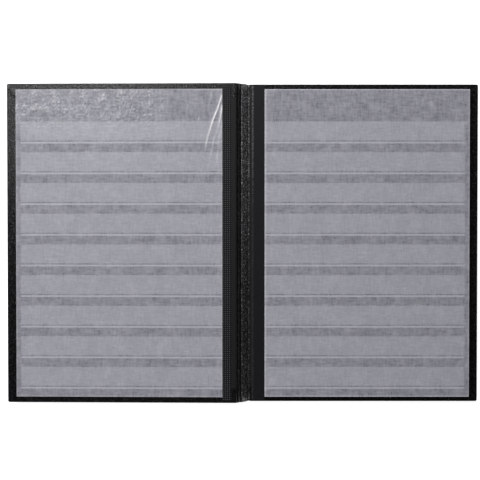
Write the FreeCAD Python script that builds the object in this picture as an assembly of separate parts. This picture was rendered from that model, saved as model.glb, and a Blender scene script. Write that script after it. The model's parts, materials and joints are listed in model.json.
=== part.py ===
import FreeCAD, Part
import math
import os

os.makedirs("parts", exist_ok=True)

# Coin album with strip pockets, lying open at its first leaf. Millimetres.
# +X runs across the open album, +Y up the page, +Z up from the table.

# Case
cover_width = 219.5  # spine edge to fore-edge
cover_height = 305.0  # head to tail
board_thickness = 2.2
skin = 0.4  # leatherette
turn_in = 14.0  # leatherette folded over the inside of a board
corner_radius = 1.5
edge_radius = 0.8
edge_gap = 1.2  # from a case hinge line to the edge of its cover
hinge_gap = 0.3  # bare run between a hinge line's round edge and a cover
spine_board_start = 3.8  # from a case hinge line to the spine's board
spine_board_thickness = 1.2
lining_thickness = 0.3
spine_tilt = 48.0  # degrees from the table, with the album open
front_lift = 6.0  # stiff new joints hold the front fore-edge off the table

# Pages and leaves
leaf_count = 8
page_width = 195.4
front_page_width = 197.2
page_height = 293.6
gutter = 14.3  # from the back cover's spine edge to the page on it, and to the leaves
front_gutter = 13.6
card_thickness = 0.3
card_inset = 0.8  # the card stops short of its film on the three outer sides
film_thickness = 0.04
film_gap = 0.05
leaf_gap = 0.24  # between neighbouring leaves
cloth_thickness = 0.2
cloth_width = 8.5  # on the front cover
cloth_height = 300.0
bead_radius = 0.25  # sewn fold on a leaf's hinge line
bead_clearance = 0.1
spine_clearance = 1.6  # from the closed spine to the nearest leaf
least_hinge_step = 0.8

# Strip pockets
pocket_rows = 9
pocket_height = 21.0
pocket_pitch = 29.3
pocket_foot = 7.6  # page edge to the foot of the lowest strip
pocket_short = 4.4  # the strips stop this far short of the fore-edge
pocket_film = 0.08
pocket_depth = 0.06  # slot behind the film
seam_height = 2.9  # stuck-down foot of a strip
side_seam = 2.0

# Movement, in degrees
leaf_turn = 158.0
fan_low = 25.0  # how far the last leaf turns when the first is fully turned

# Sizes that follow from these
cover_thickness = board_thickness + 2 * skin
half_skin = skin / 2
inner_face = cover_thickness - half_skin  # above the hinge line
pocket_rise = pocket_depth + pocket_film
side_layer = pocket_rise + film_gap + film_thickness
leaf_thickness = card_thickness + 2 * side_layer
leaf_pitch = leaf_thickness + leaf_gap
page_layer = card_thickness + side_layer
closed_thickness = (
    2 * (cover_thickness + page_layer) + leaf_gap + leaf_count * leaf_pitch
)
spine_span = closed_thickness - skin  # one case hinge line to the other
page_start = edge_gap + gutter
front_page_start = edge_gap + front_gutter
cover_end = edge_gap + cover_width
spine_depth = half_skin + spine_board_thickness + skin

tilt = math.radians(spine_tilt)
rise = spine_span * math.sin(tilt)
slope = math.asin((rise - front_lift) / cover_end)  # the front cover's

# Ratio of each leaf's turn to the first leaf's
fan = [
    1 - i * (1 - fan_low / leaf_turn) / (leaf_count - 1) for i in range(leaf_count)
]


def hinge_steps():
    """X of each leaf's hinge line: a leaf passes clear of the line above it."""
    clear = bead_radius + cloth_thickness / 2 + bead_clearance
    x = spine_depth + spine_clearance + bead_radius
    lines = [x]
    for share in fan[1:]:
        turn = math.radians(leaf_turn * share)
        step = (clear - leaf_pitch * math.cos(turn)) / math.sin(turn)
        x += max(step, least_hinge_step)
        lines.append(x)
    return lines


leaf_x = hinge_steps()
lowest_leaf = cover_thickness + page_layer + leaf_gap + leaf_thickness / 2
leaf_z = [lowest_leaf + (leaf_count - 1 - i) * leaf_pitch for i in range(leaf_count)]

front_x = -spine_span * math.cos(tilt)
front_z = half_skin + rise
far_left = (
    front_x
    - (cover_end - edge_radius) * math.cos(slope)
    - (inner_face - edge_radius) * math.sin(slope)
    - edge_radius
)
shift = -(far_left + cover_end) / 2  # centres the open album on X = 0

Y_AXIS = FreeCAD.Vector(0, 1, 0)


def box(x0, x1, y0, y1, z0, z1):
    corner = FreeCAD.Vector(x0, y0, z0)
    return Part.makeBox(x1 - x0, y1 - y0, z1 - z0, corner)


def strip(x0, x1, height, z0, z1):
    """A box centred along Y."""
    return box(x0, x1, -height / 2, height / 2, z0, z1)


def rod(x, z, radius, height):
    start = FreeCAD.Vector(x, -height / 2, z)
    return Part.makeCylinder(radius, height, start, Y_AXIS)


def extrude_y(points, height):
    """A closed outline of (x, z) points, drawn out along Y."""
    corners = [FreeCAD.Vector(x, -height / 2, z) for x, z in points]
    face = Part.Face(Part.makePolygon(corners + corners[:1]))
    return face.extrude(FreeCAD.Vector(0, height, 0))


def fillet(shape, radius, wanted):
    """Rounds the edges for which wanted(box of the edge) is true."""
    edges = [edge for edge in shape.Edges if wanted(edge.BoundBox)]
    return shape.makeFillet(radius, edges)


def round_fore_corners(shape, end, radius):
    def upright(b):
        return b.ZLength > 1 and b.XLength < 0.01 and abs(b.XMax - end) < 0.01

    return fillet(shape, radius, upright)


def cover():
    """Board, leatherette and liner. X from the hinge line, Z from its height."""
    board = strip(
        edge_gap + skin,
        cover_end - skin,
        cover_height - 2 * skin,
        half_skin,
        inner_face - skin,
    )
    board = round_fore_corners(board, cover_end - skin, corner_radius - skin)

    block = strip(edge_gap, cover_end, cover_height, -half_skin, inner_face)
    block = round_fore_corners(block, cover_end, corner_radius)

    def rim(b):
        level = b.ZLength < 0.01
        return level and b.XMax > edge_gap + 0.01

    block = fillet(block, edge_radius, rim)
    window = strip(
        edge_gap - 1,
        cover_end - turn_in,
        cover_height - 2 * turn_in,
        half_skin,
        inner_face + 1,
    )
    flap_start = half_skin + hinge_gap
    flap = strip(flap_start, edge_gap + skin, cover_height, -half_skin, half_skin)
    leatherette = block.cut(board).cut(window).fuse(flap).removeSplitter()

    liner = strip(
        edge_gap,
        cover_end - turn_in,
        cover_height - 2 * turn_in,
        half_skin,
        inner_face,
    ).cut(board)
    return board, leatherette, liner


def spine():
    """Board, leatherette and lining. X from the back hinge line, Z inwards."""
    board_end = spine_span - spine_board_start
    top = half_skin + spine_board_thickness
    board = strip(spine_board_start, board_end, cover_height - 2 * skin, half_skin, top)

    sheet = strip(0, spine_span, cover_height, -half_skin, half_skin)
    for x in (0, spine_span):
        sheet = sheet.fuse(rod(x, 0, half_skin, cover_height))
    wrap = strip(spine_board_start, board_end, cover_height, half_skin, top + skin)
    middle = strip(
        spine_board_start, board_end, cover_height - 2 * turn_in, half_skin, top + skin
    )
    leatherette = sheet.fuse(wrap.cut(board).cut(middle)).removeSplitter()

    start = half_skin + hinge_gap
    low = half_skin + lining_thickness
    high = top + lining_thickness
    out = spine_board_start - lining_thickness
    lining = extrude_y(
        [
            (start, half_skin),
            (spine_board_start, half_skin),
            (spine_board_start, top),
            (board_end, top),
            (board_end, half_skin),
            (spine_span - start, half_skin),
            (spine_span - start, low),
            (spine_span - out, low),
            (spine_span - out, high),
            (out, high),
            (out, low),
            (start, low),
        ],
        cover_height - 2 * turn_in,
    )
    return board, leatherette, lining


def card(start, width, z0):
    end = start + width - card_inset
    height = page_height - 2 * card_inset
    return strip(start, end, height, z0, z0 + card_thickness)


def pocket(start, width, foot):
    """One strip on the face Z = 0: stuck at its foot and sides, open at its head."""
    end = start + width - pocket_short
    head = foot + pocket_height
    bar = foot + seam_height
    seam = box(start, end, foot, bar, 0, pocket_film)
    sides = [
        box(x, x + side_seam, bar - pocket_film, head, 0, pocket_rise)
        for x in (start, end - side_seam)
    ]
    front = box(start, end, bar - pocket_film, head, pocket_depth, pocket_rise)
    return seam.fuse(sides + [front]).removeSplitter()


def pockets(start, width, z):
    """The strips on one face, whose surface is at height z."""
    lowest = -page_height / 2 + pocket_foot
    feet = [lowest + row * pocket_pitch for row in range(pocket_rows)]
    rows = [pocket(start, width, foot) for foot in feet]
    return Part.makeCompound(rows).translated(FreeCAD.Vector(0, 0, z))


def film(start, width, z0):
    """A loose sheet with a round hinge edge at its start."""
    middle = z0 + film_thickness / 2
    sheet = strip(start, start + width, page_height, z0, z0 + film_thickness)
    edge = rod(start, middle, film_thickness / 2, page_height)
    return sheet.fuse(edge).removeSplitter()


def under(shape):
    """The same thing on the other face of a leaf."""
    return shape.mirror(FreeCAD.Vector(0, 0, 0), FreeCAD.Vector(0, 0, 1))


def page(start, width):
    """Card, strips and film of a page stuck to a cover."""
    face = inner_face + card_thickness
    return (
        card(start, width, inner_face),
        pockets(start, width, face),
        film(start, width, face + pocket_rise + film_gap),
    )


def leaf(index):
    """One leaf about its own hinge line, lying flat."""
    start = page_start - leaf_x[index]
    half = card_thickness / 2
    face_film = film(start, page_width, half + pocket_rise + film_gap)
    strips = pockets(start, page_width, half)
    both = Part.makeCompound(strips.Solids + under(strips).Solids)
    half_cloth = cloth_thickness / 2
    cloth = strip(0, start, cloth_height, -half_cloth, half_cloth)
    cloth = cloth.fuse(rod(0, 0, bead_radius, cloth_height)).removeSplitter()
    return {
        "card": card(start, page_width, -half),
        "pockets": both,
        "hinge_cloth": cloth,
        "front_film": face_film,
        "back_film": under(face_film),
    }


def binding():
    """The stepped stub that carries the leaves, a step to each hinge line."""
    left = leaf_x[0] - bead_radius
    steps = []
    for x, z in zip(leaf_x, leaf_z):
        top = z - bead_radius - bead_clearance
        steps.append(
            strip(left, x + bead_radius, cloth_height, cover_thickness, top)
        )
    return steps[0].fuse(steps[1:]).removeSplitter()


def on_back(shape):
    return shape.translated(FreeCAD.Vector(shift, 0, half_skin))


def on_spine(shape):
    """X runs up the tilted spine, Z faces into the album."""
    turned = shape.mirror(FreeCAD.Vector(0, 0, 0), FreeCAD.Vector(1, 0, 0))
    turned.rotate(FreeCAD.Vector(0, 0, 0), Y_AXIS, spine_tilt)
    return on_back(turned)


def on_front(shape):
    """Mirrored to the left and sloped down to the table."""
    turned = shape.mirror(FreeCAD.Vector(0, 0, 0), FreeCAD.Vector(1, 0, 0))
    turned.rotate(FreeCAD.Vector(0, 0, 0), Y_AXIS, -math.degrees(slope))
    return turned.translated(FreeCAD.Vector(front_x + shift, 0, front_z))


def named(prefix, names, shapes):
    return {prefix + name: shape for name, shape in zip(names, shapes)}


nodes = {}
case_names = ("_board", "_cover_leatherette", "_cover_liner")
page_names = ("_page_card", "_page_pockets", "_page_film")
back_page = page(page_start, page_width)
front_page = page(front_page_start, front_page_width)
for side, put, inner_page in (
    ("back", on_back, back_page),
    ("front", on_front, front_page),
):
    nodes.update(named(side, case_names, map(put, cover())))
    nodes.update(named(side, page_names, map(put, inner_page)))
spine_names = ("_board", "_leatherette", "_lining")
nodes.update(named("spine", spine_names, map(on_spine, spine())))

cloth = strip(
    front_page_start - cloth_width,
    front_page_start,
    cloth_height,
    inner_face,
    inner_face + cloth_thickness,
)
nodes["front_page_hinge_cloth"] = on_front(cloth)
nodes["leaf_binding_stub"] = binding().translated(FreeCAD.Vector(shift, 0, 0))

for index in range(leaf_count):
    place = FreeCAD.Vector(leaf_x[index] + shift, 0, leaf_z[index])
    for name, shape in leaf(index).items():
        nodes[f"leaf_{index + 1}_{name}"] = shape.translated(place)

for name, shape in nodes.items():
    if not shape.isValid():
        raise ValueError(name + " is not a valid shape")
    shape.exportStep(f"parts/{name}.step")

print(len(nodes), "nodes")
print("closed thickness", closed_thickness, "slope", math.degrees(slope))
print("back hinge line", shift, half_skin)
print("front hinge line", front_x + shift, front_z)
for x, z, share in zip(leaf_x, leaf_z, fan):
    print("leaf hinge line", x + shift, z, "ratio", share)
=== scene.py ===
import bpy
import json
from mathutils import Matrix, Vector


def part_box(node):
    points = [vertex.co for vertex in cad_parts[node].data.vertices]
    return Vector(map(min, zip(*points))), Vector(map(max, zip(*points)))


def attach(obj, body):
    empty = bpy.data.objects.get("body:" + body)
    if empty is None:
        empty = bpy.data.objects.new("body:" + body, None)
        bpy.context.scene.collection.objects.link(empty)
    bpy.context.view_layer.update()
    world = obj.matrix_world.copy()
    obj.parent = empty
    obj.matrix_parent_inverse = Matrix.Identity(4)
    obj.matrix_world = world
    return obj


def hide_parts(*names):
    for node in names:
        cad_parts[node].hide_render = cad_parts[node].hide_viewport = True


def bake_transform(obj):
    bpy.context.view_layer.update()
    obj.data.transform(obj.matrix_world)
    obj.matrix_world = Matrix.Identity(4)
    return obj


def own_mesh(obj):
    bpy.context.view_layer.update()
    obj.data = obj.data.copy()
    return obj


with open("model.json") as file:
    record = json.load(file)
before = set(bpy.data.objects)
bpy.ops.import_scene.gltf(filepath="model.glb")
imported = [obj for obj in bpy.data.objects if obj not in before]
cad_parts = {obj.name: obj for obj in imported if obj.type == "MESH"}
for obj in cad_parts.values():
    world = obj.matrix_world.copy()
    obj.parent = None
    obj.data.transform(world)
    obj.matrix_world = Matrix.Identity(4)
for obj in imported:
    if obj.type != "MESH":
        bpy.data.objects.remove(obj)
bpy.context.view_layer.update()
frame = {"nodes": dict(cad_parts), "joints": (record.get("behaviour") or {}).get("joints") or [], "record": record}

# %% [markdown]
# # An open coin album
# The album is a book: two stiff covers and a spine in black leatherette, one
# page stuck inside each cover, and eight leaves between. Every page is black
# card with nine strips of film, open at the top, that coins in flat holders
# slide into. A sheet of milky glassine protects each page. The solid model
# already gives the sizes and the hinges, so this script adds what it can't:
# skin that bends, film that ripples, grain, weave and light.

# %% Tools
import json
import math

import bpy
import bmesh
from mathutils import Vector, noise

MM = 0.001
joints = {joint["name"]: joint for joint in frame["joints"]}

# %% [markdown]
# ## Where things are
# A tilted part is easiest to build in its own coordinates: how far along it,
# and how far above it. The three parts of the case meet at two hinge lines,
# and the hinges' places and limits say how each one lies on the table. A
# small class turns "along, up the page, above" into a point in the scene,
# and a point in the scene back into "along, above".


# %% Local coordinates
class Lie:
    """How a flat part lies: along runs away from its hinge line, out of it."""

    def __init__(self, hinge, along, out):
        self.hinge, self.along, self.out = (Vector(v) for v in (hinge, along, out))

    def at(self, x, y, h):
        """The point x along, y up the page and h above, all in millimetres."""
        return self.hinge + MM * (self.along * x + self.out * h) + Vector((0, y * MM, 0))

    def measure(self, point):
        """How far a point is along the part and above it, in millimetres."""
        past = point - self.hinge
        return past.dot(self.along) / MM, past.dot(self.out) / MM


back_hinge = Vector(joints["spine_fold"]["pos_m"])
front_hinge = Vector(joints["front_cover_fold"]["pos_m"])
up_spine = (front_hinge - back_hinge).normalized()
tilt = math.atan2(up_spine.z, -up_spine.x)
slope = math.radians(joints["front_cover_fold"]["range_deg"][1] - 90) - tilt
SPINE = (front_hinge - back_hinge).length / MM
into_spine = Vector((up_spine.z, 0, -up_spine.x))

back_lie = Lie(back_hinge, (1, 0, 0), (0, 0, 1))
front_lie = Lie(
    front_hinge,
    (-math.cos(slope), 0, -math.sin(slope)),
    (-math.sin(slope), 0, math.cos(slope)),
)
from_back = Lie(back_hinge, up_spine, into_spine)
from_front = Lie(front_hinge, -up_spine, into_spine)
print("spine", round(SPINE, 2), "mm, tilted", round(math.degrees(tilt), 1), "degrees")

# %% [markdown]
# The sizes come from the solid model's boxes, in millimetres from a hinge
# line. The front page lies on a slope, so the box of its film, which is
# 0.2 mm above its card, is turned back by the slope. A hinge line runs in
# the middle of the skin's thickness, so half of that thickness is needed.

# %% Sizes read from the solid model
HALF_SKIN = 0.2
COVER_START = 1.2
FILM_ABOVE_CARD = 0.2
low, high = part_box("back_cover_leatherette")
COVER_END = (high.x - back_hinge.x) / MM
HALF_HEIGHT = high.y / MM
COVER_TOP = (high.z - back_hinge.z) / MM
low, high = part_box("back_page_card")
PAGE_START = (low.x - back_hinge.x) / MM
CARD = (high.z - low.z) / MM
low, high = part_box("back_page_film")
PAGE_WIDTH = (high.x - back_hinge.x) / MM - PAGE_START
HALF_PAGE = high.y / MM
low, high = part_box("front_page_film")
film_level = COVER_TOP + CARD + FILM_ABOVE_CARD
FRONT_START = ((front_hinge.x - high.x) / MM - film_level * math.sin(slope)) / math.cos(slope)
FRONT_WIDTH = (high.x - low.x) / MM / math.cos(slope)
print("cover", round(COVER_END - COVER_START, 1), "x", round(2 * HALF_HEIGHT, 1), "mm")
print("page", round(PAGE_WIDTH, 1), "x", round(2 * HALF_PAGE, 1), "mm, starts at", round(PAGE_START, 2))
print("front page", round(FRONT_WIDTH, 1), "mm wide, starts at", round(FRONT_START, 2))

# %% [markdown]
# ## Building materials from nodes
# A finish is a small network of nodes, and almost every line of it is "add a
# node, set it, wire it up". One function does that. Another starts a
# material with its shine and the two things that all of them use: the
# surface, and the object's own coordinates in millimetres. The specular
# level is a half for a clean surface, and less where fibres or fine pits
# trap the light. Colours are the hex values of a colour chart, turned to
# linear light in one place. A Mix node has sockets for numbers, vectors and
# colours, so the three that mix colours are given names here.


# %% Colour and nodes
COLOUR_A, COLOUR_B, MIXED = 6, 7, 2


def linear(hex_colour):
    """An sRGB hex colour as the linear RGBA that Blender's sockets take."""
    parts = [int(hex_colour[i : i + 2], 16) / 255 for i in (1, 3, 5)]
    return [c / 12.92 if c <= 0.04045 else ((c + 0.055) / 1.055) ** 2.4 for c in parts] + [1]


def wire(node, wires):
    """Links a node's inputs to sockets, or sets them to numbers or hex colours."""
    for name, value in wires.items():
        if isinstance(value, bpy.types.NodeSocket):
            node.id_data.links.new(value, node.inputs[name])
        else:
            value = linear(value) if isinstance(value, str) else value
            node.inputs[name].default_value = value


def add(tree, kind, wires, **settings):
    """Adds a node, gives it its settings and wires up its inputs."""
    made = tree.nodes.new("ShaderNode" + kind)
    for name, value in settings.items():
        setattr(made, name, value)
    wire(made, wires)
    return made


def start(name, roughness, ior=1.5, specular=0.5):
    """A new material: itself, its tree, its surface and its coordinates in mm."""
    material = bpy.data.materials.new(name)
    material.use_nodes = True
    tree = material.node_tree
    surface = tree.nodes["Principled BSDF"]
    wire(surface, {"Roughness": roughness, "IOR": ior, "Specular IOR Level": specular})
    place = add(tree, "TexCoord", {}).outputs["Object"]
    in_mm = add(tree, "VectorMath", {0: place, 1: (1 / MM,) * 3}, operation="MULTIPLY")
    return material, tree, surface, in_mm.outputs[0]


print("half-way grey on a screen is", round(linear("#808080")[0], 3), "in linear light")

# %% [markdown]
# ## PVC leatherette
# The case is covered in leatherette: paper coated with PVC, which a hot
# roller embosses with a leather grain. PVC is a plastic, so its IOR is about
# 1.53. The roller leaves it with a soft shine, a little more in some places
# than in others. The real grain is about 0.5 mm, too fine to show from a
# metre away, so it is drawn at 1.9 mm. Voronoi cells give the pebbles, and a
# noise the cross creases between them. At the joints, where the skin folds,
# the raised grain is painted grey: partly wear, and partly a painted
# highlight for the glints of the head lamp, so it grows towards the head.
# The mesh stores how much at each point, and the colour follows.

# %% Leatherette
GRAIN = 1.9
leatherette, tree, surface, mm = start(
    "pvc_leatherette", roughness=0.24, ior=1.53, specular=0.42
)
cells = {"Vector": mm, "Scale": 1 / GRAIN}
pebbles = add(tree, "TexVoronoi", cells, feature="DISTANCE_TO_EDGE").outputs["Distance"]
creases = add(tree, "TexNoise", {"Vector": mm, "Scale": 1.1 / GRAIN, "Detail": 4}).outputs[0]
grain = add(tree, "Math", {0: pebbles, 1: creases}, operation="ADD").outputs[0]
peaks = add(tree, "MapRange", {"Value": grain, "From Min": 0.62, "From Max": 1}).outputs[0]
embossed = {"Factor": peaks, COLOUR_A: "#010102", COLOUR_B: "#232326"}
base_grain = add(tree, "Mix", embossed, data_type="RGBA").outputs[MIXED]
# Grey on the raised grain: partly wear, partly painted highlight for the head lamp's glints.
glint_and_wear = add(tree, "Attribute", {}, attribute_name="glint_and_wear").outputs["Fac"]
raised_most = add(tree, "MapRange", {"Value": peaks, "To Min": 0.12}).outputs[0]
raised_glint_and_wear = add(tree, "Math", {0: glint_and_wear, 1: raised_most}, operation="MULTIPLY").outputs[0]
greyed = {"Factor": raised_glint_and_wear, COLOUR_A: base_grain, COLOUR_B: "#B4B4B6"}
patches = add(tree, "TexNoise", {"Vector": mm, "Scale": 1 / 35, "Detail": 4}).outputs[0]
shine = add(tree, "MapRange", {"Value": patches, "To Min": 0.19, "To Max": 0.29}).outputs[0]
bump = add(tree, "Bump", {"Height": grain, "Distance": 0.18 * MM, "Strength": 1})
wires = {"Base Color": add(tree, "Mix", greyed, data_type="RGBA").outputs[MIXED]}
wire(surface, wires | {"Roughness": shine, "Normal": bump.outputs[0]})
print("leatherette grain", GRAIN, "mm")

# %% [markdown]
# ## Black liner paper
# Inside the covers, between the folded edges of the skin, is a liner of
# uncoated black paper. Uncoated paper is a mat of fibres: matt, and mottled
# rather than even. A stretched noise gives the fibres.

# %% Liner
liner, tree, surface, mm = start("black_liner_paper", roughness=0.55, specular=0.28)
stretched = add(tree, "VectorMath", {0: mm, 1: (0.7, 2.2, 1)}, operation="MULTIPLY").outputs[0]
fibres = add(tree, "TexNoise", {"Vector": stretched, "Scale": 0.8, "Detail": 5}).outputs[0]
mottle = {"Factor": fibres, COLOUR_A: "#050506", COLOUR_B: "#111113"}
bump = add(tree, "Bump", {"Height": fibres, "Distance": 0.05 * MM, "Strength": 0.5})
wires = {"Base Color": add(tree, "Mix", mottle, data_type="RGBA").outputs[MIXED]}
wire(surface, wires | {"Normal": bump.outputs[0]})
print("liner mottled from", mottle[COLOUR_A], "to", mottle[COLOUR_B])

# %% [markdown]
# ## Linen book cloth
# The strips that hinge the pages are book cloth: black linen, filled with
# starch so that glue can't come through. The filler leaves it satin, and the
# threads stand up in a square grid. The real threads are about 0.45 mm
# apart; the grid is drawn at 2 mm so that it shows. Two sets of bands at
# right angles, added together, stand highest where the threads cross.

# %% Linen
THREAD = 2.0


def weave(tree, mm, spacing):
    """Heights of a plain weave, highest where two sets of threads cross."""
    wires = {"Vector": mm, "Scale": math.pi / (10 * spacing), "Distortion": 0.6, "Detail": 1}
    bands = []
    for axis in ("X", "Y"):
        bands.append(add(tree, "TexWave", wires, wave_type="BANDS", bands_direction=axis))
    crossed = {i: band.outputs["Fac"] for i, band in enumerate(bands)}
    total = add(tree, "Math", crossed, operation="ADD").outputs[0]
    return add(tree, "Math", {0: total, 1: 0.5}, operation="MULTIPLY").outputs[0]


linen, tree, surface, mm = start("black_linen_cloth", roughness=0.5, specular=0.16)
threads = weave(tree, mm, THREAD)
dots = add(tree, "MapRange", {"Value": threads, "From Min": 0.62, "From Max": 0.92}).outputs[0]
dotted = {"Factor": dots, COLOUR_A: "#050506", COLOUR_B: "#505053"}
bump = add(tree, "Bump", {"Height": threads, "Distance": 0.2 * MM, "Strength": 0.9})
wires = {"Base Color": add(tree, "Mix", dotted, data_type="RGBA").outputs[MIXED]}
wire(surface, wires | {"Normal": bump.outputs[0], "Sheen Weight": 0.05, "Sheen Roughness": 0.5})
print("linen threads drawn", THREAD, "mm apart")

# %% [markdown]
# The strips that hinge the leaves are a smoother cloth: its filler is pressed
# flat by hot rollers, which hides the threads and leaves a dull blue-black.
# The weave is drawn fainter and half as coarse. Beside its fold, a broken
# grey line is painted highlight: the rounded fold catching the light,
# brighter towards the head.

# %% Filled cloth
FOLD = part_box("leaf_1_hinge_cloth")[0].x / MM
filled_cloth, tree, surface, mm = start("filled_book_cloth", roughness=0.5, specular=0.24)
threads = weave(tree, mm, 0.5 * THREAD)
woven = {"Factor": threads, COLOUR_A: "#050508", COLOUR_B: "#121217"}
plain = add(tree, "Mix", woven, data_type="RGBA").outputs[MIXED]
parts = add(tree, "SeparateXYZ", {"Vector": mm}).outputs
# Painted highlight: the rounded fold catching the light, brighter towards the head.
beside = {"Value": parts["X"], "From Min": FOLD + 0.8, "From Max": FOLD + 2}
at_fold = add(tree, "MapRange", beside | {"To Min": 1, "To Max": 0}).outputs[0]
up_page = {"Value": parts["Y"], "From Min": 30, "From Max": 160, "To Min": 0.15}
towards_head_light = add(tree, "MapRange", up_page).outputs[0]
highlight_noise = add(tree, "TexNoise", {"Vector": mm, "Scale": 0.7, "Detail": 3}).outputs[0]
broken_highlight = add(tree, "MapRange", {"Value": highlight_noise, "From Min": 0.4, "From Max": 0.62}).outputs[0]
where = add(tree, "Math", {0: at_fold, 1: towards_head_light}, operation="MULTIPLY").outputs[0]
fold_highlight = add(tree, "Math", {0: where, 1: broken_highlight}, operation="MULTIPLY").outputs[0]
greyed = {"Factor": fold_highlight, COLOUR_A: plain, COLOUR_B: "#808082"}
bump = add(tree, "Bump", {"Height": threads, "Distance": 0.04 * MM, "Strength": 0.8})
wires = {"Base Color": add(tree, "Mix", greyed, data_type="RGBA").outputs[MIXED]}
wire(surface, wires | {"Normal": bump.outputs[0]})
print("filled cloth folds", round(FOLD, 1), "mm across the album")

# %% [markdown]
# ## Greyboard and black card
# The boards are greyboard, pressed from waste paper: grey, flecked and dull.
# The pages are dyed black card of about 300 g. It is calendered between
# rollers, which leaves a fine ribbed tooth across the page.

# %% Board and card
greyboard, tree, surface, mm = start("greyboard", roughness=0.85)
flecks = add(tree, "TexNoise", {"Vector": mm, "Scale": 1.1, "Detail": 8}).outputs[0]
flecked = {"Factor": flecks, COLOUR_A: "#7C7974", COLOUR_B: "#A29E97"}
bump = add(tree, "Bump", {"Height": flecks, "Distance": 0.1 * MM, "Strength": 0.6})
wires = {"Base Color": add(tree, "Mix", flecked, data_type="RGBA").outputs[MIXED]}
wire(surface, wires | {"Normal": bump.outputs[0]})

card, tree, surface, mm = start("dyed_black_card", roughness=0.7)
ribs = add(tree, "VectorMath", {0: mm, 1: (0.25, 1.1, 1)}, operation="MULTIPLY").outputs[0]
tooth = add(tree, "TexNoise", {"Vector": ribs, "Scale": 0.9, "Detail": 4}).outputs[0]
marked = add(tree, "MapRange", {"Value": tooth, "To Min": -0.6, "To Max": 1.6}).outputs[0]
ribbed = {"Factor": marked, COLOUR_A: "#0D0D0E", COLOUR_B: "#343438"}
bump = add(tree, "Bump", {"Height": tooth, "Distance": 0.1 * MM, "Strength": 0.8})
wires = {"Base Color": add(tree, "Mix", ribbed, data_type="RGBA").outputs[MIXED]}
wire(surface, wires | {"Normal": bump.outputs[0]})
print("board and card:", greyboard.name, card.name)

# %% [markdown]
# ## Strip film
# The pocket strips are matt polypropylene film, IOR 1.49. It lets the card
# show, but its matt face scatters light, so a strip reads as lighter than
# bare card. Alpha is how much of the surface is there; what is left is seen
# through. Each strip is stuck down along its foot: the lowest 1.5 mm is
# dense and bright. Above it the film lifts off the card, and a dark line up
# to 3.1 mm, denser than the rest, is painted shadow of that step. The mesh
# stores each point's height above the foot.

# %% Strip film
strip_film, tree, surface, mm = start("matt_strip_film", roughness=0.34, ior=1.49)
up = add(tree, "Attribute", {}, attribute_name="above_foot").outputs["Fac"]
past_glue = add(tree, "MapRange", {"Value": up, "From Min": 1.5, "From Max": 1.9}).outputs[0]
# Painted shadow: a dark, dense line where the film lifts off the card.
past_line = add(tree, "MapRange", {"Value": up, "From Min": 2.7, "From Max": 3.1}).outputs[0]
line = add(tree, "Math", {0: past_glue, 1: past_line}, operation="SUBTRACT").outputs[0]
lined = {"Factor": line, COLOUR_A: "#CBCBD0", COLOUR_B: "#0C0C0E"}
haze = add(tree, "TexNoise", {"Vector": mm, "Scale": 1 / 2.2, "Detail": 4}).outputs[0]
milky = add(tree, "MapRange", {"Value": haze, "To Min": 0.4, "To Max": 0.64}).outputs[0]
foot = add(tree, "MapRange", {"Value": past_glue, "To Min": 0.3, "To Max": 0}).outputs[0]
with_foot = add(tree, "Math", {0: milky, 1: foot}, operation="ADD").outputs[0]
alpha = add(tree, "Math", {0: line, 1: 0.3, 2: with_foot}, operation="MULTIPLY_ADD")
bump = add(tree, "Bump", {"Height": haze, "Distance": 0.06 * MM, "Strength": 0.6})
wires = {"Base Color": add(tree, "Mix", lined, data_type="RGBA").outputs[MIXED]}
wire(surface, wires | {"Alpha": alpha.outputs[0], "Normal": bump.outputs[0]})
print("strip film has", len(tree.nodes), "nodes")

# %% [markdown]
# ## Glassine
# The loose sheets are glassine: paper pulp beaten so fine, and pressed so
# hard, that light gets through. It is milky with a faint violet cast and has
# a low gloss. Its haze is uneven at two scales: the cloudiness of the pulp,
# up to 14 mm wide, and a fine tooth from the rollers. The mesh stores how
# much white is painted on at each point, which makes the sheet whiter and
# denser: along a hard crease, partly the white of the broken surface and
# partly a painted highlight; along a cut edge and on the pebbles near the
# head, a painted highlight.
# The sheets on the lower leaves are thin solids, which light crosses twice,
# so their own glassine has about half the haze on each face.


# %% Glassine
def glassine_sheet(name, clearest, milkiest):
    """Glassine whose haze runs from clearest to milkiest, each from 0 to 1."""
    material, tree, surface, mm = start(name, roughness=0.3)
    cloud = add(tree, "TexNoise", {"Vector": mm, "Scale": 1 / 14, "Detail": 6}).outputs[0]
    teeth = {}
    for i, squeeze in enumerate(((0.3, 1, 1), (1, 0.25, 1))):
        run = add(tree, "VectorMath", {0: mm, 1: squeeze}, operation="MULTIPLY").outputs[0]
        teeth[i] = add(tree, "TexNoise", {"Vector": run, "Scale": 0.5, "Detail": 2}).outputs[0]
    tooth = add(tree, "Math", teeth, operation="ADD").outputs[0]
    speckle = add(tree, "Math", {0: cloud, 1: 0.5, 2: tooth}, operation="MULTIPLY_ADD").outputs[0]
    # White of creases, and painted highlights on creases, edges and pebbles.
    white = add(tree, "Attribute", {}, attribute_name="white_and_highlight").outputs["Fac"]
    clouded = {"Factor": cloud, COLOUR_A: "#BEBECD", COLOUR_B: "#D3D2DC"}
    pulp = add(tree, "Mix", clouded, data_type="RGBA").outputs[MIXED]
    whitening_mix = {"Factor": white, COLOUR_A: pulp, COLOUR_B: "#FFFFFF"}
    span = {"From Min": 0.9, "From Max": 1.6, "To Min": clearest, "To Max": milkiest}
    haze = add(tree, "MapRange", span | {"Value": speckle}).outputs[0]
    alpha = add(tree, "Math", {0: white, 1: 0.5, 2: haze}, operation="MULTIPLY_ADD")
    bump = add(tree, "Bump", {"Height": tooth, "Distance": 0.2 * MM, "Strength": 0.5})
    wires = {"Base Color": add(tree, "Mix", whitening_mix, data_type="RGBA").outputs[MIXED]}
    wire(surface, wires | {"Alpha": alpha.outputs[0], "Normal": bump.outputs[0]})
    return material


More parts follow.
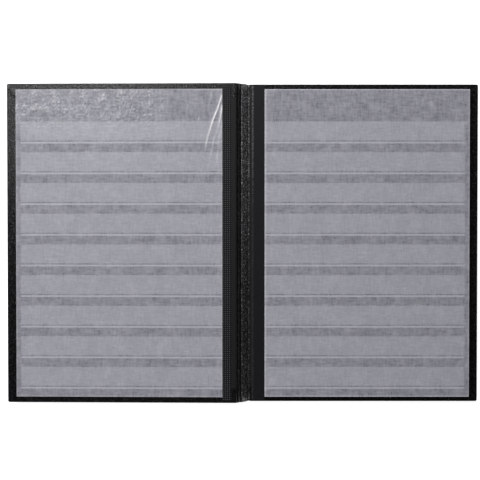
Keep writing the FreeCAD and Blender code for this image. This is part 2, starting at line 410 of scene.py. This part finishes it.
glassine = glassine_sheet("glassine", clearest=0.32, milkiest=0.58)
solid_glassine = glassine_sheet("glassine_two_faced", clearest=0.17, milkiest=0.34)
print("glassine for nets and for solids")

# %% [markdown]
# ## Dressing the solid model
# The boards, cards, cloth hinges and the films on the lower leaves are right
# as they are, so each keeps its solid and takes the finish of its record
# slot. Only the hinge cloths of the leaves differ: they take the filled
# cloth. Assigning a material never moves or changes the solid.

# %% Finishes by slot
finishes = {
    "leatherette": leatherette,
    "greyboard": greyboard,
    "black_liner": liner,
    "black_card": card,
    "pocket_film": strip_film,
    "glassine": solid_glassine,
    "linen_cloth": linen,
    "binding_cloth": linen,
}
for part in frame["record"]["subparts"]:
    name, finish = part["node"], finishes[part["material_slot"]]
    if name.startswith("leaf_") and name.endswith("_cloth"):
        finish = filled_cloth
    materials = frame["nodes"][name].data.materials
    materials.clear()
    materials.append(finish)

# %% [markdown]
# ## Making a mesh from rows
# The skin, the strips and the loose sheets are all the same kind of shape: a
# net of points in rows. One function joins neighbours in the rows with
# four-sided faces, and another makes the object, so that each piece only has
# to say where its points are. Some finishes follow a number that the mesh
# stores for each point, such as how much painted glint and wear it has.


# %% Nets of points
def grid(rows, columns, first=0, closed=False):
    """Faces between rows of points; closed joins the two ends of each row."""
    faces = []
    for r in range(rows - 1):
        for c in range(columns if closed else columns - 1):
            a = first + r * columns + c
            b = first + r * columns + (c + 1) % columns
            faces.append((a, b, b + columns, a + columns))
    return faces


def new_piece(name, points, faces, finish):
    """An object with smooth faces, all in one finish."""
    mesh = bpy.data.meshes.new(name)
    mesh.from_pydata(points, [], faces)
    mesh.polygons.foreach_set("use_smooth", [True] * len(faces))
    mesh.materials.append(finish)
    piece = bpy.data.objects.new(name, mesh)
    bpy.context.scene.collection.objects.link(piece)
    return piece


def net(name, rows, finish, closed=False):
    """A piece through rows of points."""
    points = [point for row in rows for point in row]
    return new_piece(name, points, grid(len(rows), len(rows[0]), closed=closed), finish)


def store(piece, name, values):
    """Stores a number for each point of a piece, under the name a finish reads."""
    piece.data.attributes.new(name, "FLOAT", "POINT").data.foreach_set("value", values)


def face_up(piece, direction):
    """Turns the faces of a flat piece so that they look along direction."""
    total = sum((p.normal * p.area for p in piece.data.polygons), Vector())
    if total.dot(direction) < 0:
        piece.data.flip_normals()


print("a net of 3 rows of 4 points has", len(grid(3, 4)), "faces")

# %% [markdown]
# ## The skin of the case
# On the real case one piece of leatherette covers both boards and the spine,
# and is turned in over their edges; only the skin crosses the joints, so only
# the skin bends. Here each half of the case is one closed net, from the
# fore-edge of a cover, over its joint, to the middle of the spine. Its
# outline is drawn once, in the cover's and the spine's own coordinates, and
# repeated up the page. Rigid pieces on each side of a joint would gape when
# the album closes; this net is shaped as the case lies open, and is fixed in
# the scene.


# %% Helpers for an outline
def arc(x, h, radius, first, last, steps):
    """Points of an arc round (x, h), in degrees, counted from along to out."""
    for i in range(steps + 1):
        a = math.radians(first + (last - first) * i / steps)
        yield x + radius * math.cos(a), h + radius * math.sin(a)


def spread(first, last, step):
    """Evenly spaced values from first to last, about step apart."""
    count = max(1, round(abs(last - first) / step))
    return [first + (last - first) * i / count for i in range(count + 1)]


print("four steps of a quarter turn:", len(list(arc(0, 0, 1, 0, 90, 4))), "points")

# %% [markdown]
# The outline starts on the outside of the spine, runs out along the cover,
# round its fore-edge, back over its inside and down into the joint, and ends
# on the spine's lining. Each point also says what share of the rounding at
# the ends of the case it takes: all of it on a board, which is thick, and
# less at a bare joint. Points are close together where the skin bends, and
# far apart where it is flat.

# %% Outline of half the case
EDGE = 0.8
BOARD_FOOT = 3.8
SPINE_TOP = 1.8
CLOSE, FLAT = 0.9, 9
BARE, HALF_ON, NEARLY, BOARDED = 0.4, 0.5, 0.7, 1
JOINT_TOP = 0.42
STEP_RADIUS = 0.6


def outline(cover, spine):
    """(lie, x, h, share of the end rounding) right round half the case."""
    out = [(spine, x, -HALF_SKIN, BARE) for x in spread(SPINE / 2, 0.6, CLOSE)]
    out += [(cover, x, -HALF_SKIN, BARE) for x in spread(0.5, COVER_START, 0.4)]
    outside = spread(COVER_START + 1, COVER_END - EDGE, FLAT)
    out += [(cover, x, -HALF_SKIN, BOARDED) for x in outside]
    fore_edge = list(arc(COVER_END - EDGE, EDGE - HALF_SKIN, EDGE, -70, 0, 4))
    fore_edge += arc(COVER_END - EDGE, COVER_TOP - EDGE, EDGE, 0, 90, 5)
    inside = spread(COVER_END - 1.2, COVER_END - 15, CLOSE)
    inside += spread(COVER_END - 22, COVER_START + 1.5, FLAT)
    shoulder = arc(COVER_START + EDGE, COVER_TOP - EDGE, EDGE, 90, 180, 5)
    out += [(cover, x, h, BOARDED) for x, h in fore_edge]
    out += [(cover, x, COVER_TOP, BOARDED) for x in inside]
    out += [(cover, x, h, BOARDED) for x, h in shoulder]
    out += [(cover, COVER_START, 1.1, NEARLY), (cover, COVER_START - 0.1, 0.65, HALF_ON)]
    out += [(cover, 0.7, JOINT_TOP, BARE), (cover, 0.2, 0.34, BARE)]
    out += [(spine, x, JOINT_TOP, BARE) for x in spread(0.7, BOARD_FOOT - 0.7, 0.6)]
    out += [(spine, BOARD_FOOT - 0.3, 0.62, HALF_ON), (spine, BOARD_FOOT - 0.12, 1.2, NEARLY)]
    step_up = arc(BOARD_FOOT + 0.5, SPINE_TOP - STEP_RADIUS, STEP_RADIUS, 180, 90, 4)
    out += [(spine, x, h, BOARDED) for x, h in step_up]
    out += [(spine, x, SPINE_TOP, BOARDED) for x in spread(BOARD_FOOT + 1, SPINE / 2, CLOSE)]
    return out


print("outline of", len(outline(back_lie, from_back)), "points")

# %% [markdown]
# At a corner of the cover the turned-in skin of the fore-edge lies over that
# of the head or foot, along a mitre at 45 degrees. Near the corners the rows
# are close together, so that this small step is real shape. The end of each
# row also rounds over the edge of the board.

# %% Corners and ends
TURN_IN = 14.0
LAP = 0.22
LAP_FADES = 5
END_RADIUS = 0.5
CORNER_RADIUS = 1.5
LAST_ROWS = [0, 0.04, 0.15, 0.3, 0.5, 0.8, 1.15, 1.5]


def lap(x, y):
    """Extra height of a turned-in corner, in mm, where one flap lies on the other."""
    from_fore, from_end = COVER_END - x, HALF_HEIGHT - abs(y)
    if from_fore > TURN_IN or from_end > TURN_IN:
        return 0
    past = from_end - from_fore
    return LAP * min(1, max(0, past + 0.4)) * math.exp(-((max(0, past) / LAP_FADES) ** 2))


def drawn_back(near, radius):
    """How far a rounded edge is drawn back, at a distance near from its end."""
    return radius - math.sqrt(max(0, radius**2 - max(0, radius - near) ** 2))


def places_of_rows():
    """The places of the skin's rows up the page, close together at both ends."""
    places = [-HALF_HEIGHT + near for near in LAST_ROWS]
    places += spread(-HALF_HEIGHT + 2.4, -HALF_HEIGHT + 15, CLOSE)
    places += spread(-HALF_HEIGHT + 18, HALF_HEIGHT - 18, 4)
    places += spread(HALF_HEIGHT - 15, HALF_HEIGHT - 2.4, CLOSE)
    return places + [HALF_HEIGHT - near for near in reversed(LAST_ROWS)]


print("skin of", len(places_of_rows()), "rows")

# %% [markdown]
# The raised grain is painted grey where the skin folds inwards at the joints
# and on the inside of the spine: partly wear, and partly a painted highlight
# for the glints of the head lamp, which grows towards the head. The front
# joint is lined, so there the skin doesn't show. The skin also puckers a
# little where it has no board behind it: a noise stretched up the page.

# %% Points of the skin
PUCKER = 0.12
LEAST_GLINT_AND_WEAR = 0.03
GLINT_RISES_FROM, GLINT_RISES_OVER = -40, 120


def skin_points(cover, spine, lined):
    """The skin's rows of points, and how much painted glint and wear each point has."""
    rows, glint_and_wear = [], []
    for y in places_of_rows():
        near = HALF_HEIGHT - abs(y)
        inset, bite = drawn_back(near, END_RADIUS), drawn_back(near, CORNER_RADIUS)
        # The painted glint grows towards the head, where the head lamps stand.
        towards_head_light = 0.5 + 0.5 * min(1, max(0, (y - GLINT_RISES_FROM) / GLINT_RISES_OVER))
        row = []
        for lie, x, h, share in outline(cover, spine):
            on_spine = lie is spine and share == BOARDED
            folds = h > HALF_SKIN and (on_spine or share < BOARDED and not lined)
            glint_and_wear.append(towards_head_light * (1 if folds else LEAST_GLINT_AND_WEAR))
            if lie is cover and h == COVER_TOP:
                h += lap(x, y)
            middle = 0.5 * (COVER_TOP - HALF_SKIN) if share >= NEARLY else 0.1
            h += (middle - h) * min(1, inset * share / max(0.3, abs(middle - h)))
            if lie is cover and x > COVER_END - 4:
                x -= bite + inset
            if share < NEARLY and not (lie is spine and x > BOARD_FOOT):
                h += PUCKER * noise.noise(Vector((x * 0.5, y * 0.11, 3)))
            row.append(lie.at(x, y, h))
        rows.append(row)
    return rows, glint_and_wear


print("puckers up to", PUCKER, "mm")

# %% [markdown]
# The net is a tube, so each end needs a cap. The edges along mid-spine, where
# the two halves meet, are marked sharp, so that shading doesn't round them.
# The liner is the same mesh with another finish: its faces are those inside
# the turned-in edges. At the front joint, which is lined, they run on as far
# as the spine's board.

# %% Caps and liner
PAST_EDGE = 0.4
LINED_ABOVE = 0.28


def close_ends(piece, count):
    """Caps the tube at head and foot, and keeps it crisp along mid-spine."""
    work = bmesh.new()
    work.from_mesh(piece.data)
    work.verts.ensure_lookup_table()
    for first in (0, len(work.verts) - count):
        cap = work.faces.new([work.verts[first + i] for i in range(count)])
        cap.smooth = False
    for edge in work.edges:
        if all(v.index % count in (0, count - 1) for v in edge.verts):
            edge.smooth = False
    bmesh.ops.recalc_face_normals(work, faces=work.faces)
    work.to_mesh(piece.data)
    work.free()


def line_inside(piece, cover, spine, lined):
    """Gives the liner's finish to the faces of the skin that the liner covers."""
    piece.data.materials.append(liner)
    for face in piece.data.polygons:
        along, above = cover.measure(face.center)
        down, from_spine = spine.measure(face.center)
        within = COVER_START + PAST_EDGE < along < COVER_END - TURN_IN
        within = within and abs(face.center.y) / MM < HALF_HEIGHT - TURN_IN
        in_joint = along < COVER_START + PAST_EDGE and down < BOARD_FOOT + 0.2
        in_joint = in_joint and min(above, from_spine) > LINED_ABOVE
        if within and above > COVER_TOP - 0.05 or lined and in_joint:
            face.material_index = 1


print("turned in", TURN_IN, "mm")

# %% [markdown]
# Both halves are made the same way. Points on a cover are placed in the
# cover's coordinates, and points past the foot of the spine's board in the
# spine's. Those between turn smoothly from one to the other, as real
# leatherette does. The skin stays where it is made, as the case lies open.


# %% The two halves of the skin
def skin(name, cover, spine, hidden, lined):
    """Half the case's skin, bending between a cover and the spine."""
    rows, glint_and_wear = skin_points(cover, spine, lined)
    piece = net(name, rows, leatherette, closed=True)
    store(piece, "glint_and_wear", glint_and_wear)
    close_ends(piece, len(rows[0]))
    line_inside(piece, cover, spine, lined)
    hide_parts(*hidden)
    cover.at(COVER_START, 0, 0)
    spine.at(BOARD_FOOT, 0, 0)
    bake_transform(piece)
    return piece


back_skin = skin(
    "back_case_skin",
    back_lie,
    from_back,
    ["back_cover_leatherette", "back_cover_liner"],
    lined=False,
)
front_skin = skin(
    "front_case_skin",
    front_lie,
    from_front,
    ["front_cover_leatherette", "front_cover_liner", "spine_leatherette", "spine_lining"],
    lined=True,
)
print("skin points", len(back_skin.data.vertices) + len(front_skin.data.vertices))

# %% [markdown]
# ## The pocket strips
# A strip is a ribbon of film the width of the page. Its foot is stuck to the
# card; above that it stands off the card by 0.15 mm, so that a flat holder
# can slide in from above. A solid box would show two faces of film and look
# twice as milky, so each strip is one ribbon, with the step at its foot
# modelled. The same ribbons are laid on every page, front and back.

# %% One page of strips
FOOT, STRIP, PITCH, ROWS, SHORT = 7.6, 21.0, 29.3, 9, 4.4
STEP = [(0, 0.03), (1.8, 0.03), (2.6, 0.06), (3.2, 0.14), (6, 0.15)]
STEP += [(11, 0.155), (16, 0.15), (20, 0.15), (STRIP, 0.14)]
SAG = 0.02


def strips(name, body, lie, flip, node, starts=PAGE_START, width=PAGE_WIDTH):
    """The nine ribbons of one page, whose lie starts at the card's surface."""
    points, faces, above = [], [], []
    across = spread(0, width - SHORT, 12)
    for row in range(ROWS):
        faces += grid(len(STEP), len(across), len(points))
        for up, h in STEP:
            y = -HALF_PAGE + FOOT + row * PITCH + up
            for x in across:
                sag = SAG * noise.noise(Vector((x * 0.06, y * 0.05, row * 3.1)))
                points.append(lie.at(starts + x, y, flip * (h + sag)))
                above.append(up)
    piece = new_piece(name, points, faces, strip_film)
    store(piece, "above_foot", above)
    face_up(piece, lie.out * flip)
    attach(piece, body)
    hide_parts(node)


print("strips", STRIP, "mm tall,", PITCH, "mm apart")

# %% [markdown]
# The strips are laid on the two pages inside the covers and on both faces of
# each leaf. Every leaf's own body carries its strips, so they turn with it.


# %% Strips on every page
def raised(lie, height):
    """The same lie, moved out by height in millimetres."""
    return Lie(lie.hinge + lie.out * height * MM, lie.along, lie.out)


strips(
    "front_page_strips",
    "front_cover",
    raised(front_lie, COVER_TOP + CARD),
    flip=1,
    node="front_page_pockets",
    starts=FRONT_START,
    width=FRONT_WIDTH,
)
strips("back_page_strips", "back_cover", raised(back_lie, COVER_TOP + CARD), 1, "back_page_pockets")
leaf_count = sum(name.endswith("_turn") for name in joints)
for k in range(1, leaf_count + 1):
    low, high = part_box(f"leaf_{k}_card")
    for side, z, flip in (("front", high.z, 1), ("back", low.z, -1)):
        lie = Lie((back_hinge.x, 0, z), (1, 0, 0), (0, 0, 1))
        strips(f"leaf_{k}_{side}_strips", f"leaf_{k}", lie, flip, f"leaf_{k}_pockets")
print("laid", ROWS * (2 + 2 * leaf_count), "strips")

# %% [markdown]
# ## The loose glassine sheets
# The two sheets that show are free except along the gutter, and glassine
# takes up damp from the air, so it cockles: a pebbled surface near the head,
# long ripples along the gutter where the sheet is held, and sharp creases
# that run out of the head corner. Each effect is a height added to a fine
# net. A cloth simulation would sag the sheet onto the page and lose the
# creases, so the heights are written out.

# %% Ripples and creases
REST = 0.12
DAMP_DOWN = 34
DAMP_FROM, DAMP_OVER = 40, 35
GUTTER_REACH = 14


def near_crease(x, y, path, width):
    """How much of a crease is at a point; path holds (x, y, strength)."""
    most = 0
    for (x0, y0, s0), (x1, y1, s1) in zip(path, path[1:]):
        dx, dy = x1 - x0, y1 - y0
        t = min(1, max(0, ((x - x0) * dx + (y - y0) * dy) / (dx * dx + dy * dy)))
        off = math.hypot(x - x0 - t * dx, y - y0 - t * dy)
        if off < 3 * width:
            most = max(most, (s0 + t * (s1 - s0)) * math.exp(-((off / width) ** 2)))
    return most


def cockle(x, y, seed, pebbled):
    """Height of a sheet above its flat place, and the painted glint on its pebbles."""
    h = REST + 0.06 * noise.noise(Vector((x * 0.03, y * 0.02, seed)))
    damp = math.exp(-((y / DAMP_DOWN) ** 4)) * min(1, max(0.08, (x - DAMP_FROM) / DAMP_OVER))
    fine = noise.noise(Vector((x * 0.6, y * 0.6, seed + 7)))
    broad = noise.noise(Vector((x * 0.11, y * 0.14, seed + 8)))
    h += pebbled * damp * (fine + 0.5 * broad)
    shift = 1.5 * noise.noise(Vector((0, y * 0.02, seed)))
    h += 0.10 * math.exp(-x / GUTTER_REACH) * math.sin(x * 0.8 + shift)
    h += 0.04 * noise.noise(Vector((x * 0.3, y * 0.03, seed + 3)))
    h += 0.04 * noise.noise(Vector((x * 0.04, y * 0.35, seed + 5)))
    glint = pebbled * damp * max(0, 0.9 * fine + 0.7 * broad)
    return max(0.03, h), glint


print("a sheet rests", REST, "mm up, and is damp for", DAMP_DOWN, "mm from the head")

# %% [markdown]
# The points are closest near the gutter and the head, where the sheet is
# rippled and creased. Over its last 0.8 mm at each cut edge the sheet is
# painted whiter: a painted highlight along the edge.

# %% One loose sheet
GUTTER_BAND, HEAD_BAND = 32, 76
CUT_EDGE = 0.8
EDGE_HIGHLIGHT = 0.22


def loose_sheet(name, body, lie, starts, width, seed, pebbled, creases, node):
    """A cockled sheet of glassine over a page."""
    across = spread(0, GUTTER_BAND, 0.55)[:-1] + spread(GUTTER_BAND, width, 0.9)
    down = spread(0, HEAD_BAND, 0.9)[:-1] + spread(HEAD_BAND, 2 * HALF_PAGE, 2.2)
    rows, white_and_highlight = [], []
    for y in down:
        row = []
        for x in across:
            height, glint = cockle(x, y, seed, pebbled)
            most = 0
            for path, broad, rise in creases:
                most = max(most, near_crease(x, y, path, broad))
                height += rise * near_crease(x, y, path, 1.4 * broad)
            edge = min(x, width - x, y, 2 * HALF_PAGE - y)
            edge_highlight = EDGE_HIGHLIGHT * math.exp(-((edge / CUT_EDGE) ** 2))
            white_and_highlight.append(min(1, most + edge_highlight + glint))
            row.append(lie.at(starts + x, HALF_PAGE - y, height))
        rows.append(row)
    piece = net(name, rows, glassine)
    store(piece, "white_and_highlight", white_and_highlight)
    face_up(piece, lie.out)
    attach(piece, body)
    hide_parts(node)
    return piece


print("finest within", GUTTER_BAND, "mm of the gutter and", HEAD_BAND, "mm of the head")

# %% [markdown]
# Each crease is a path of points, in millimetres from the gutter and from
# the head, with how white it is painted at each; then its width, and how far
# it stands up. On the front sheet they run down from its head corner by the
# gutter; their white is partly the white of a broken crease and partly
# painted highlight, and the last, along the head edge, is painted highlight.
# The leaf's sheet only shows the line along which it is held, and its white
# there is painted highlight.

# %% The sheets that show
STRIP_TOP = 0.17
main_crease = [(0.2, 6, 0.7), (4.9, 20, 1), (8.8, 29.5, 1), (10.9, 36.3, 0.8)]
main_crease += [(13.5, 45, 0.6), (15.8, 55, 0.3), (18, 68, 0)]
second_crease = [(0.1, 16, 0.8), (1.5, 26, 0.7), (4, 37, 0.2), (7.5, 47.5, 0.35)]
second_crease += [(10.8, 62, 0.25), (12, 72, 0)]
corner_creases = [
    (main_crease, 0.75, 0.45),
    (second_crease, 0.7, 0.3),
    ([(21.4, 25.5, 0.1), (22.5, 28.5, 0.5), (23.4, 31, 0.1)], 0.5, 0.1),
    ([(0.3, 34, 0.15), (2.5, 44, 0.3), (4.5, 60, 0.15), (5.5, 74, 0)], 0.8, 0.12),
    ([(9.5, 1, 0.2), (11.5, 9, 0.15), (14, 22, 0)], 1.2, 0.15),
    # Along the head edge: painted highlight, with a slight rise.
    ([(0.4, 0.4, 0.5), (20, 0.4, 0.35), (44, 0.4, 0.1)], 0.6, 0.1),
]
gutter_line = [([(1.0, -10, 0.22), (1.1, 150, 0.18), (0.9, 320, 0.14)], 0.8, 0.2)]
front_sheet = loose_sheet(
    "front_glassine_sheet",
    "front_film",
    raised(front_lie, COVER_TOP + CARD + STRIP_TOP),
    FRONT_START,
    FRONT_WIDTH,
    seed=11,
    pebbled=0.6,
    creases=corner_creases,
    node="front_page_film",
)
low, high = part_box("leaf_1_card")
leaf_lie = Lie((back_hinge.x, 0, high.z + STRIP_TOP * MM), (1, 0, 0), (0, 0, 1))
leaf_sheet = loose_sheet(
    "leaf_1_glassine_sheet",
    "leaf_1_film",
    leaf_lie,
    PAGE_START,
    PAGE_WIDTH,
    seed=29,
    pebbled=0.12,
    creases=gutter_line,
    node="leaf_1_front_film",
)
print("sheet points", len(front_sheet.data.vertices), len(leaf_sheet.data.vertices))

# %% [markdown]
# When the album closes, the sheets are pressed between the pages and their
# cockles go flat. Here the sheets keep their cockles in every pose; each only
# gets its own copy of its mesh.

# %% Own meshes for the sheets
for sheet, joint, lie, height in (
    (front_sheet, "front_cover_fold", front_lie, COVER_TOP + CARD + STRIP_TOP),
    (leaf_sheet, "spine_fold", leaf_lie, 0),
):
    lie.at(PAGE_START, 0, height)
    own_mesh(sheet)

# %% [markdown]
# ## Floor and light
# The album stands on a pale paper sweep, a round floor whose far rim curves
# up, so that the floor has no horizon. The paper also glows, which keeps it
# even and nearly free of shadow. It lies half a millimetre under the album,
# so that no two faces share one plane.

# %% Floor
SWEEP = [(0, 0), (2, 0), (6, 0), (9, 0), (11, 0.3), (12.4, 1.0), (13.1, 1.8), (13.4, 2.8)]
SPOKES = 48
FLOOR_GAP = 0.5
sweep_rows = []
for i in range(SPOKES + 1):
    turn = math.tau * i / SPOKES
    sweep_rows.append([(r * math.cos(turn), r * math.sin(turn), h) for r, h in SWEEP])
paper, tree, surface, mm = start("backdrop_paper", roughness=0.9)
fibre = add(tree, "TexNoise", {"Vector": mm, "Scale": 0.6, "Detail": 4}).outputs[0]
pale = {"Factor": fibre, COLOUR_A: "#F4F4F4", COLOUR_B: "#FAFAFA"}
wires = {"Base Color": add(tree, "Mix", pale, data_type="RGBA").outputs[MIXED]}
wire(surface, wires | {"Emission Color": "#FFFFFF", "Emission Strength": 0.75})
floor = net("floor", sweep_rows, paper)
floor.location.z = -FLOOR_GAP * MM
print("floor", 2 * SWEEP[-1][0], "m across")

# %% [markdown]
# The album is lit as for a catalogue: large soft lights, low at head and
# foot, out of the mirror direction, so that black leatherette stays black.
# One small lamp stands near the mirror direction of the front cover's head
# edge, for the gleam there. It lights gloss only, so it doesn't brighten the
# colours of the pages.


# %% Lamps
def lamp(name, place, size, power):
    """A soft square light that looks at the middle of the album."""
    data = bpy.data.lights.new(name, "AREA")
    data.shape, data.size, data.energy = "SQUARE", size, power
    made = bpy.data.objects.new(name, data)
    made.location = place
    made.rotation_euler = (-Vector(place)).to_track_quat("-Z", "Y").to_euler()
    bpy.context.scene.collection.objects.link(made)
    return made


lamp("head_glint", (-0.345, 0.33, 1.0), size=0.2, power=1.5).visible_diffuse = False
lamp("head_light", (-0.2, 1.3, 1.05), size=0.9, power=20)
lamp("left_light", (-0.9, 1.0, 0.95), size=0.7, power=11)
lamp("foot_light", (-0.6, -1.5, 0.8), size=1.0, power=14)
world = bpy.data.worlds.new("studio")
world.use_nodes = True
wire(world.node_tree.nodes["Background"], {"Color": "#F2F4F8", "Strength": 0.04})
bpy.context.scene.world = world
bpy.context.scene.view_settings.view_transform = "Standard"
print("lit by", len(bpy.data.lights), "lamps")

# %% [markdown]
# ## Camera
# The camera hangs about a metre above the album and a little towards the
# head, and looks down at its middle. The lens is chosen so that the open
# album fills the width of the view.

# %% Camera
ABOVE = 1.0
TOWARDS_HEAD = 0.018
SENSOR, LENS = 36, 77.7
looked_at = Vector((-0.003, 0.003, 0))
camera_data = bpy.data.cameras.new("camera")
camera_data.sensor_width = SENSOR
camera_data.lens = LENS
camera = bpy.data.objects.new("camera", camera_data)
camera.location = looked_at + Vector((0, TOWARDS_HEAD, ABOVE))
camera.rotation_euler = (-math.atan2(TOWARDS_HEAD, ABOVE), 0, 0)
bpy.context.scene.collection.objects.link(camera)
bpy.context.scene.camera = camera
print("camera sees", round(ABOVE * SENSOR / LENS, 3), "m at the table")
